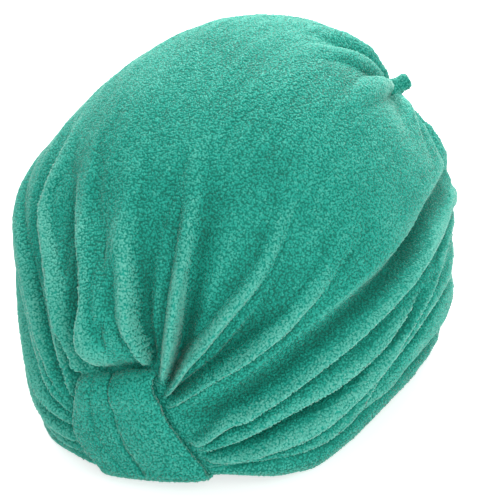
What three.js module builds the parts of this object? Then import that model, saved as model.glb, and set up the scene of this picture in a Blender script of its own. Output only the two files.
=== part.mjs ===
// Hair turban towel in its worn form: a pleated terry crown, a rolled hem round the head opening,
// a front band the pleats run out of, and a small gathered tip high at the back.
// Millimetres. Origin at the centre of the head opening; -Y is the front, +X the wearer's left.
import * as THREE from "three";

// Crown form
const HALF_WIDTH = 107.5;
const FRONT_REACH = 107;
const BACK_REACH = 127;
const RIM_FRONT_REACH = 104;
const RIM_BACK_REACH = 106;
const APEX_HEIGHT = 176;
const WIDEST_HEIGHT = 64.5;
const SEAM_TOP = 58;
const TIP_HEIGHT = 104;
const TIP_SIDE = 32;
const RIM_ANGLE = 125;
const RIM_SIDE_DROP = 2.5;
const FRONT_SEAM_LEAN = 3.5;
const PLAN_ROUNDNESS = 0.78;
const ARCH_ROUNDNESS = 1.06;
// Cloth
const WALL = 2.8;
const CLEARANCE = 0.4;
const FOLD_HEIGHT = 7;
const FOLD_HALF_WIDTH = 6;
const INNER_FOLLOW = 0.8;
// Puff of cloth that hangs over the top of the band
const PUFF_REACH = 8;
const PUFF_DROOP = 4;
const PUFF_WIDTH = 56;
// Rolled hem
const HEM_HEIGHT = 13;
const HEM_THICK = 9;
const HEM_FRONT_HEIGHT = 4.6;
const HEM_OUT = -0.8;
// Front band
const BAND_THICK = 3.4;
const BAND_TOP = 57;
const BAND_HALF_WIDTH = 27;
const BAND_INSIDE = 24;
const BAND_CREASE = 0.8;
const BAND_SLACK = 1;
const BAND_MARGIN = 1.6;
const BAND_TOP_EASE = 1.4;
// Gathered tip
const GATHER_LENGTH = 15;
const GATHER_STAND = 2.6;
const GATHER_RADIUS = 4.2;

// One row per fold: place across the crown (0 top line, 1 rim on +X, -1 rim on -X) at each station,
// and height as a share of FOLD_HEIGHT at each station.
const STATIONS = [0, 0.06, 0.1, 0.15, 0.25, 0.36, 0.5, 0.65, 0.77, 1];
const FOLDS = [
  {
    name: "H_far",
    wide: 1.0,
    place: [-0.9, -0.9, -0.9, -0.9, -0.9, -0.89, -0.88, -0.87, -0.88, -0.9],
    height: [0, 0, 0.7, 0.7, 0.7, 0.5, 0.4, 0.3, 0.3, 0],
  },
  {
    name: "G_far",
    wide: 1.2,
    place: [-0.8, -0.8, -0.81, -0.81, -0.8, -0.79, -0.78, -0.77, -0.78, -0.8],
    height: [0, 0, 0.8, 0.9, 0.9, 0.8, 0.6, 0.5, 0.4, 0],
  },
  {
    name: "F_far",
    wide: 1.4,
    place: [-0.68, -0.69, -0.7, -0.69, -0.67, -0.66, -0.65, -0.64, -0.65, -0.68],
    height: [0, 0, 0.8, 1, 1, 0.9, 0.7, 0.5, 0.4, 0],
  },
  {
    name: "N",
    wide: 1.2,
    place: [-0.6, -0.61, -0.6, -0.55, -0.53, -0.54, -0.54, -0.52, -0.52, -0.54],
    height: [0, 0.1, 0.8, 1, 0.9, 0.6, 0.4, 0.3, 0.3, 0],
  },
  {
    name: "K",
    wide: 1.4,
    place: [-0.5, -0.53, -0.51, -0.465, -0.452, -0.47, -0.46, -0.42, -0.42, -0.42],
    height: [0, 0.1, 0.9, 1, 1, 0.8, 0.4, 0.2, 0.2, 0],
  },
  {
    name: "KC_hollow",
    wide: 1.0,
    place: [-0.4, -0.42, -0.41, -0.39, -0.372, -0.366, -0.35, -0.33, -0.3, -0.3],
    height: [0, 0, -0.2, -0.4, -0.4, -0.3, -0.1, 0, 0, 0],
  },
  {
    name: "C",
    wide: 1.7,
    place: [-0.3, -0.32, -0.325, -0.328, -0.32, -0.26, -0.25, -0.24, -0.2, -0.2],
    height: [0, 0.2, 0.9, 1, 0.9, 0.5, 0.1, 0.1, 0.1, 0],
  },
  {
    name: "C0",
    wide: 1.5,
    place: [-0.2, -0.21, -0.19, -0.15, -0.165, -0.16, -0.15, -0.12, -0.08, -0.06],
    height: [0, 0, 0.2, 0.3, 0.3, 0.2, 0, 0.1, 0, 0],
  },
  {
    name: "B1",
    wide: 1.3,
    place: [0.3, 0.26, 0.14, 0.055, -0.005, -0.01, -0.01, 0.05, 0.13, 0.1],
    height: [0, 0.2, 0.7, 0.9, 0.6, 0.3, 0.1, 0.6, 0.2, 0],
  },
  {
    name: "A",
    wide: 0.9,
    place: [0.38, 0.36, 0.31, 0.245, 0.19, 0.14, 0.16, 0.205, 0.24, 0.2],
    height: [0, 0.3, 1, 1.1, 0.8, 0.3, 0.2, 0.8, 0.2, 0],
  },
  {
    name: "D",
    wide: 1.1,
    place: [0.42, 0.415, 0.4, 0.405, 0.408, 0.37, 0.34, 0.35, 0.32, 0.3],
    height: [0, 0.2, 0.9, 1, 0.8, 0.3, 0.2, 0.9, 0.2, 0],
  },
  {
    name: "E",
    wide: 1.2,
    place: [0.5, 0.47, 0.49, 0.525, 0.555, 0.525, 0.45, 0.42, 0.38, 0.4],
    height: [0, 0.1, 0.8, 1, 0.9, 0.4, 0.1, 0.5, 0.2, 0],
  },
  {
    name: "EF_hollow",
    wide: 1.6,
    place: [0.58, 0.575, 0.6, 0.62, 0.635, 0.63, 0.6, 0.56, 0.5, 0.5],
    height: [0, 0, -0.2, -0.3, -0.4, -0.5, -0.5, -0.3, 0, 0],
  },
  {
    name: "F",
    wide: 1.6,
    place: [0.68, 0.68, 0.7, 0.71, 0.702, 0.7, 0.69, 0.66, 0.62, 0.6],
    height: [0, 0.1, 0.9, 1.1, 1.2, 1.2, 1.1, 0.8, 0.5, 0],
  },
  {
    name: "F3",
    wide: 1.1,
    place: [0.76, 0.765, 0.775, 0.778, 0.787, 0.782, 0.755, 0.72, 0.69, 0.68],
    height: [0, 0.1, 0.6, 0.8, 0.8, 0.7, 0.4, 0.2, 0.2, 0],
  },
  {
    name: "G",
    wide: 1.4,
    place: [0.84, 0.85, 0.86, 0.862, 0.853, 0.838, 0.81, 0.79, 0.78, 0.78],
    height: [0, 0.1, 0.8, 1, 1.1, 1, 0.9, 0.7, 0.4, 0],
  },
  {
    name: "H",
    wide: 0.9,
    place: [0.91, 0.915, 0.915, 0.91, 0.905, 0.893, 0.88, 0.88, 0.88, 0.9],
    height: [0, 0, 0.4, 0.6, 0.9, 0.9, 0.6, 0.4, 0.2, 0],
  },
];

const wrap = Math.PI / 180;
const mix = (a, b, t) => a + (b - a) * t;
function ease(x, from, to) {
  const t = Math.min(Math.max((x - from) / (to - from), 0), 1);
  return t * t * (3 - 2 * t);
}
const rate = (values, k) => (values[k + 1] - values[k]) / (STATIONS[k + 1] - STATIONS[k]);
// Slope of a row at a station: none at a peak, so the smooth line through the stations doesn't overshoot
function slopeAt(values, k) {
  if (k === 0) return rate(values, 0);
  if (k === STATIONS.length - 1) return rate(values, k - 1);
  const before = rate(values, k - 1);
  const after = rate(values, k);
  return before * after > 0 ? (2 * before * after) / (before + after) : 0;
}
function along(values, u) {
  let k = 0;
  while (k < STATIONS.length - 2 && u > STATIONS[k + 1]) k += 1;
  const step = STATIONS[k + 1] - STATIONS[k];
  const t = (u - STATIONS[k]) / step;
  return values[k] * (1 + 2 * t) * (1 - t) ** 2
    + slopeAt(values, k) * step * t * (1 - t) ** 2
    + values[k + 1] * t * t * (3 - 2 * t)
    - slopeAt(values, k + 1) * step * t * t * (1 - t);
}

// Crown form without folds: u runs from the front seam (0) to the back seam (1), v across.
function form(u, v) {
  const turn = Math.PI * u;
  const side = Math.abs(v);
  const lean = side * RIM_ANGLE * wrap;
  const s = Math.sin(turn);
  const c = Math.cos(turn);
  const frontZ = SEAM_TOP * (1 - side);
  const backZ = TIP_HEIGHT * (1 - side);
  const rise = Math.cos(lean) > 0
    ? mix(WIDEST_HEIGHT, APEX_HEIGHT, Math.cos(lean))
    : mix(WIDEST_HEIGHT, -RIM_SIDE_DROP, Math.cos(lean) / Math.cos(RIM_ANGLE * wrap));
  const z = mix(frontZ, backZ, (1 - c) / 2) + (rise - (frontZ + backZ) / 2) * s ** ARCH_ROUNDNESS;
  const toRim = ease(lean, 60 * wrap, RIM_ANGLE * wrap);
  const reach = c > 0 ? mix(FRONT_REACH, RIM_FRONT_REACH, toRim) : mix(BACK_REACH, RIM_BACK_REACH, toRim);
  const frontShare = ((1 + c) / 2) ** 4;
  const backShare = ((1 - c) / 2) ** 4;
  const x = Math.sign(v) * HALF_WIDTH * Math.sin(lean) * s ** PLAN_ROUNDNESS
    + FRONT_SEAM_LEAN * side * frontShare
    + TIP_SIDE * (1 - side * 0.8) * backShare;
  return new THREE.Vector3(x, -reach * c, z);
}
// Way out of the form. Below its widest height the front and back stand nearly upright.
function outward(p) {
  const tall = APEX_HEIGHT - WIDEST_HEIGHT;
  const deep = p.y < 0 ? FRONT_REACH : BACK_REACH;
  const aside = Math.min(Math.abs(p.x) / (HALF_WIDTH * Math.sin(RIM_ANGLE * wrap)), 1);
  const tilt = p.z < WIDEST_HEIGHT ? mix(0.2, 1, aside ** 2) : 1;
  return new THREE.Vector3(
    p.x / HALF_WIDTH ** 2,
    p.y / deep ** 2,
    (tilt * (p.z - WIDEST_HEIGHT)) / tall ** 2,
  ).normalize();
}
const STEP = 0.002;
function across(u, v) {
  const dv = form(u, Math.min(v + STEP, 1)).sub(form(u, Math.max(v - STEP, -1)));
  return dv.divideScalar(Math.min(v + STEP, 1) - Math.max(v - STEP, -1));
}

// Hem size round the opening: slim under the band and at the back seam
const fullness = (u) => ease(u, 0.1, 0.24) * (1 - 0.35 * ease(u, 0.86, 1));
const hemHeight = (u) => mix(HEM_FRONT_HEIGHT, HEM_HEIGHT, fullness(u));
const hemThick = (u) => mix(WALL, HEM_THICK, fullness(u));
const hemOut = (u) => mix(-WALL / 2, HEM_OUT, fullness(u));
// Way down to the rim at a place on the side given (1 for +X, -1 for -X), square to the outward way
function downAt(u, side) {
  const out = outward(form(u, side * 0.97));
  const slope = form(u, side).sub(form(u, side * 0.94)).divideScalar(0.06);
  return slope.addScaledVector(out, -slope.dot(out));
}
const edgePlace = (u, side) => 1 - (hemHeight(u) + 1.6 * CLEARANCE) / downAt(u, side).length();

// Band outline down its length: centre and half width as shares of BAND_HALF_WIDTH, height above the hem turn
const BAND_SHAPE = [
  { down: 0, centre: 0, half: 0.72 },
  { down: 0.15, centre: 0.01, half: 0.82 },
  { down: 0.33, centre: 0.04, half: 0.98 },
  { down: 0.55, centre: 0.1, half: 1.08 },
  { down: 0.78, centre: 0.24, half: 1.06 },
  { down: 1, centre: 0.42, half: 1 },
  { down: 1.2, centre: 0.46, half: 0.97 },
  { down: 2, centre: 0.5, half: 0.95 },
];
function bandShape(key, down) {
  let k = 0;
  while (k < BAND_SHAPE.length - 2 && down > BAND_SHAPE[k + 1].down) k += 1;
  const a = BAND_SHAPE[k];
  const b = BAND_SHAPE[k + 1];
  return BAND_HALF_WIDTH * mix(a[key], b[key], (down - a.down) / (b.down - a.down));
}
const TURN_RADIUS = (WALL + 2 * CLEARANCE + BAND_THICK + BAND_SLACK) / 2;
const TURN_HEIGHT = TURN_RADIUS - BAND_THICK / 2 - CLEARANCE - BAND_SLACK;

const BAND_DROP = BAND_TOP - TURN_HEIGHT;
// 0 where the band lies on the crown, 1 clear of it
function clearOfBand(p) {
  if (p.y > 0) return 1;
  const down = (BAND_TOP - p.z) / BAND_DROP;
  const aside = Math.abs(p.x - bandShape("centre", down)) - bandShape("half", down);
  return Math.max(ease(aside, BAND_MARGIN, 5 * BAND_MARGIN), ease(-down * BAND_DROP, BAND_MARGIN, 5 * BAND_MARGIN));
}

// Columns that follow the folds, so each fold has its crest, shoulders and feet in the mesh
const PROFILE = [
  { at: -1, rise: 0 },
  { at: -0.38, rise: 0.96 },
  { at: 0.38, rise: 0.96 },
  { at: 1, rise: 0 },
];
function columns(u) {
  const start = -edgePlace(u, -1);
  const end = edgePlace(u, 1);
  const cols = [{ v: start, lift: 0 }];
  for (const [k, fold] of FOLDS.entries()) {
    const place = along(fold.place, u);
    const before = k ? along(FOLDS[k - 1].place, u) : start;
    const after = k < FOLDS.length - 1 ? along(FOLDS[k + 1].place, u) : end;
    const wide = (fold.wide * FOLD_HALF_WIDTH) / Math.max(across(u, place).length(), 1);
    const half = Math.min(wide, 0.49 * (place - before), 0.49 * (after - place));
    const height = FOLD_HEIGHT * along(fold.height, u);
    for (const row of PROFILE) cols.push({ v: place + row.at * half, lift: height * row.rise });
  }
  cols.push({ v: end, lift: 0 });
  return cols;
}
function puff(p, u) {
  const wide = 1 - (p.x / (PUFF_WIDTH / 2)) ** 2;
  const above = ease(p.z - BAND_TOP, BAND_MARGIN, PUFF_REACH + BAND_MARGIN);
  return Math.max(wide, 0) * above * (1 - ease(u, 0.07, 0.2));
}
function crownPoint(u, v, lift, depth) {
  const p = form(u, v);
  const full = puff(p, u);
  const move = (lift * clearOfBand(p) + PUFF_REACH * full) * (depth ? INNER_FOLLOW : 1) - depth;
  return p.addScaledVector(outward(p), move).add(new THREE.Vector3(0, 0, -PUFF_DROOP * full));
}

function closedMesh(name, points, faces, colour) {
  const geometry = new THREE.BufferGeometry();
  geometry.setAttribute("position", new THREE.Float32BufferAttribute(points.flatMap((p) => p.toArray()), 3));
  geometry.setIndex(faces.flat());
  geometry.computeVertexNormals();
  const mesh = new THREE.Mesh(geometry, new THREE.MeshStandardMaterial({ color: colour, roughness: 0.95 }));
  mesh.name = name;
  return mesh;
}
// Two triangles for the four corners of a grid cell
const cell = (a, b, c, d) => [[a, b, c], [a, c, d]];

const TERRY = 0x2f9c88;
const CROWN_ROWS = 32;

const ROWS = Array.from({ length: CROWN_ROWS + 1 }, (_, i) => (1 - Math.cos((Math.PI * i) / CROWN_ROWS)) / 2);
function crown() {
  const rows = ROWS;
  const width = columns(0.5).length;
  const points = [];
  for (const depth of [0, WALL]) {
    for (const u of rows) {
      const atSeam = u === 0 || u === 1;
      const edge = edgePlace(u, 1);
      for (const [j, col] of columns(u).entries()) {
        const even = edge * ((2 * j) / (width - 1) - 1);
        points.push(crownPoint(u, atSeam ? even : col.v, atSeam ? 0 : col.lift, depth));
      }
    }
  }
  // The left and right halves of the first and last rows are the same points, so the seams close
  const faces = [];
  const layer = rows.length * width;
  for (let i = 0; i < CROWN_ROWS; i += 1) {
    for (let j = 0; j < width - 1; j += 1) {
      const a = i * width + j;
      const b = layer + a;
      faces.push(...cell(a, a + 1, a + width + 1, a + width));
      faces.push(...cell(b, b + width, b + width + 1, b + 1));
    }
    const left = i * width;
    const right = left + width - 1;
    faces.push(...cell(left, left + width, layer + left + width, layer + left));
    faces.push(...cell(right, layer + right, layer + right + width, right + width));
  }
  return closedMesh("crown", points, faces, TERRY);
}

const HEM_SIDES = 10;
function rimHem() {
  const points = [];
  const places = ROWS.slice(0, -1).map((u) => [u, 1]);
  for (const u of ROWS.slice(1).reverse()) places.push([u, -1]);
  for (const [u, side] of places) {
    const down = downAt(u, side);
    const middle = form(u, side * (1 - hemHeight(u) / 2 / down.length()));
    const out = outward(middle);
    middle.addScaledVector(out, hemOut(u));
    down.normalize();
    for (let k = 0; k < HEM_SIDES; k += 1) {
      const turn = (2 * Math.PI * k) / HEM_SIDES;
      points.push(middle.clone()
        .addScaledVector(out, (Math.cos(turn) * hemThick(u)) / 2)
        .addScaledVector(down, (Math.sin(turn) * hemHeight(u)) / 2));
    }
  }
  const faces = [];
  for (let i = 0; i < places.length; i += 1) {
    const next = (i + 1) % places.length;
    for (let k = 0; k < HEM_SIDES; k += 1) {
      const up = (k + 1) % HEM_SIDES;
      faces.push(...cell(i * HEM_SIDES + k, i * HEM_SIDES + up, next * HEM_SIDES + up, next * HEM_SIDES + k));
    }
  }
  return closedMesh("rim_hem", points, faces, TERRY);
}

// Y of the crown's front face at a given x and z
function frontFace(x, z) {
  let low = 0;
  let high = 1;
  let y = -FRONT_REACH;
  for (let n = 0; n < 40; n += 1) {
    const v = (low + high) / 2;
    const span = HALF_WIDTH * Math.sin(v * RIM_ANGLE * wrap);
    const reach = Math.max(Math.abs(x - FRONT_SEAM_LEAN * v), 0.5);
    if (span <= reach) {
      low = v;
      continue;
    }
    const u = Math.asin((reach / span) ** (1 / PLAN_ROUNDNESS)) / Math.PI;
    const p = form(u, v);
    y = p.y;
    if (p.z > z) low = v;
    else high = v;
  }
  return y;
}

const BAND_TURN = Math.PI * TURN_RADIUS;
// Middle of the band's cloth at a distance along it, with the direction that faces away from the crown
function bandPoint(s, t) {
  const down = s / BAND_DROP;
  const x = bandShape("centre", down) + t * bandShape("half", down);
  const off = 1.5 * CLEARANCE + BAND_THICK / 2;
  if (s <= BAND_DROP) {
    const z = BAND_TOP - s;
    const lifted = BAND_TOP_EASE * ease(z, BAND_TOP - 12, BAND_TOP);
    return { p: new THREE.Vector3(x, frontFace(x, z) - off - lifted, z), n: new THREE.Vector3(0, -1, 0) };
  }
  const face = frontFace(x, TURN_HEIGHT) - off;
  if (s <= BAND_DROP + BAND_TURN) {
    const turn = (s - BAND_DROP) / TURN_RADIUS;
    const n = new THREE.Vector3(0, -Math.cos(turn), -Math.sin(turn));
    const p = new THREE.Vector3(x, face + TURN_RADIUS, TURN_HEIGHT).addScaledVector(n, TURN_RADIUS);
    return { p, n };
  }
  const z = TURN_HEIGHT + (s - BAND_DROP - BAND_TURN);
  const back = frontFace(x, z) - frontFace(x, TURN_HEIGHT);
  return { p: new THREE.Vector3(x, face + 2 * TURN_RADIUS + back, z), n: new THREE.Vector3(0, 1, 0) };
}

const BAND_ROWS = 20;
const BAND_COLUMNS = [-1, -0.93, -0.6, -0.3, -0.16, -0.1, -0.04, 0.2, 0.6, 0.93, 1];
function frontBand() {
  const length = BAND_DROP + BAND_TURN + BAND_INSIDE;
  const points = [];
  for (const side of [1, -1]) {
    for (let i = 0; i <= BAND_ROWS; i += 1) {
      const s = (length * i) / BAND_ROWS;
      for (const t of BAND_COLUMNS) {
        const { p, n } = bandPoint(s, t);
        const edge = Math.abs(t) === 1 ? 0.55 : 1;
        const crease = side === 1 && t === -0.1 ? BAND_CREASE : 0;
        points.push(p.addScaledVector(n, side * (BAND_THICK / 2) * edge - crease));
      }
    }
  }
  const width = BAND_COLUMNS.length;
  const layer = (BAND_ROWS + 1) * width;
  const faces = [];
  for (let i = 0; i < BAND_ROWS; i += 1) {
    for (let j = 0; j < width - 1; j += 1) {
      const a = i * width + j;
      const b = layer + a;
      faces.push(...cell(a, a + width, a + width + 1, a + 1));
      faces.push(...cell(b, b + 1, b + width + 1, b + width));
    }
    const left = i * width;
    const right = left + width - 1;
    faces.push(...cell(left, layer + left, layer + left + width, left + width));
    faces.push(...cell(right, right + width, layer + right + width, layer + right));
  }
  const last = BAND_ROWS * width;
  for (let j = 0; j < width - 1; j += 1) {
    faces.push(...cell(j, j + 1, layer + j + 1, layer + j));
    faces.push(...cell(last + j, layer + last + j, layer + last + j + 1, last + j + 1));
  }
  return closedMesh("front_band", points, faces, TERRY);
}

const GATHER_PLACE = { u: 0.77, v: 0.31 };
const GATHER_BEND = new THREE.Vector3(0.3, 0.17, -0.05);
const GATHER_SHAPE = [
  { up: 0, radius: 1.6 },
  { up: 0.12, radius: 1.35 },
  { up: 0.32, radius: 1.02 },
  { up: 0.6, radius: 0.96 },
  { up: 0.8, radius: 1 },
  { up: 0.93, radius: 0.72 },
];
function gatherTip() {
  const outline = [new THREE.Vector2(0, 0)];
  for (const row of GATHER_SHAPE) outline.push(new THREE.Vector2(row.radius * GATHER_RADIUS, row.up * GATHER_LENGTH));
  outline.push(new THREE.Vector2(0, GATHER_LENGTH));
  const shape = new THREE.LatheGeometry(outline, 14);
  const mesh = new THREE.Mesh(shape, new THREE.MeshStandardMaterial({ color: TERRY, roughness: 0.95 }));
  const root = form(GATHER_PLACE.u, GATHER_PLACE.v);
  const out = outward(root);
  mesh.quaternion.setFromUnitVectors(new THREE.Vector3(0, 1, 0), out.clone().add(GATHER_BEND).normalize());
  mesh.position.copy(root).addScaledVector(out, GATHER_STAND);
  mesh.name = "gather_tip";
  return mesh;
}

const turban = new THREE.Group();
turban.add(crown(), rimHem(), frontBand(), gatherTip());
export default turban;
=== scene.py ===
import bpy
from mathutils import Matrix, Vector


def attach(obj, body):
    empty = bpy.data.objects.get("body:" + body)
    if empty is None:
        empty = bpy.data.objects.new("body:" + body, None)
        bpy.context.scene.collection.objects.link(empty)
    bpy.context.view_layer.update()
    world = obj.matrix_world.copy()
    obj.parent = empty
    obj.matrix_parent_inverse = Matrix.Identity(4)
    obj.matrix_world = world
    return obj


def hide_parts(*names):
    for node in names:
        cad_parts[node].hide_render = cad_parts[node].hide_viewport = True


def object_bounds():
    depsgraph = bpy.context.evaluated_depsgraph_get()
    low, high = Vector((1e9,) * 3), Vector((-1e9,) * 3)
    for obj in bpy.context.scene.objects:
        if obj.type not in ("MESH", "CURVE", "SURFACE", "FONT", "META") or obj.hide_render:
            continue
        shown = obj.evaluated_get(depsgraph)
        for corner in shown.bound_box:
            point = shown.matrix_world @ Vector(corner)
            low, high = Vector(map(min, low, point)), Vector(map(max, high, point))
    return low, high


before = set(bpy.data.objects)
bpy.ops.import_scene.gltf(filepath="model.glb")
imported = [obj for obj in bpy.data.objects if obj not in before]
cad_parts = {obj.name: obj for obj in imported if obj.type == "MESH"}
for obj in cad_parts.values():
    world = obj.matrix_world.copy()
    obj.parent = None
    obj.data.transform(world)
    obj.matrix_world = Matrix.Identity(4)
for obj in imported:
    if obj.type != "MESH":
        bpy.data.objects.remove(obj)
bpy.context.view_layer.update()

import math

import bpy
import numpy as np
from mathutils import Matrix

# Hair turban towel: a pleated terry crown, a rolled hem, a front band and a gathered tip.
# Lengths are in millimetres until a mesh is made. -Y is the front, +X the wearer's left.
MM = 0.001

# Crown form, as in the solids
HALF_WIDTH = 107.5
FRONT_REACH = 107.0
BACK_REACH = 127.0
RIM_FRONT_REACH = 104.0
RIM_BACK_REACH = 106.0
APEX_HEIGHT = 176.0
WIDEST_HEIGHT = 64.5
SEAM_TOP = 58.0
TIP_HEIGHT = 104.0
TIP_SIDE = 32.0
RIM_ANGLE = math.radians(125)
RIM_SIDE_DROP = 2.5
FRONT_SEAM_LEAN = 3.5
PLAN_ROUNDNESS = 0.78
ARCH_ROUNDNESS = 1.06
WALL = 2.8
CLEARANCE = 0.4
INNER_FOLLOW = 0.8
FOLD_SINK = 1.3
PILE_HEIGHT = 1.0
# How much painted shade is laid in the creases and in the tuck behind the band
CREASE_PAINTED_SHADE = 0.6
FRONT_RISE = 3.2
# Share of a fold's height left where the crown meets the hem, and where it fades, in mm from the edge
FOLD_LEFT_AT_HEM = 0.1
HEM_FADE = (1.0, 7.0)
# Dents that the gathered tip draws in round itself: depth and reach
TIP_PINCH = ((5.0, 15), (1.5, 34))

# Hem, band and tip
HEM_HEIGHT = 13.0
HEM_THICK = 9.0
HEM_FRONT_HEIGHT = 4.6
HEM_OUT = -0.8
HEM_ROLL = 1.2
BAND_THICK = 3.4
BAND_TOP = 57.0
BAND_HALF_WIDTH = 27.0
BAND_INSIDE = 24.0
BAND_LIFT = 4.2
BAND_ROLL = 9.0
ROLL_RADIUS = 5.5
BAND_TOP_TILT = 0.2
BAND_FOOT_TILT = 0.07
BAND_TILT_FROM = -3.0
GATHER_RADIUS = 4.0
GATHER_PLACE = (0.77, 0.31)

# Puff of cloth above the band
PUFF_REACH = 11.0
PUFF_DROOP = 4.0
PUFF_FROM = 0.0
PUFF_TO = 25.0
PUFF_TUCK = 4.0
# Its sides as places across, at places along the crown
PUFF_AT = [0.0, 0.05, 0.09, 0.14, 0.2, 0.3]
PUFF_LOW_SIDE = [-0.26, -0.26, -0.28, -0.29, -0.29, -0.29]
PUFF_HIGH_SIDE = [0.42, 0.36, 0.27, 0.2, 0.16, 0.14]

# Cloth under the pile, painted darker as shade beneath the tufts
BACKING_PAINTED_SHADE = 0.2

# Pile
ROW_GAP = 1.22
TUFT_GAP = 1.18
BAND_ROW_GAP = 1.35
BAND_TUFT_GAP = 1.3
TIP_PILE_GAP = 1.1

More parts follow.
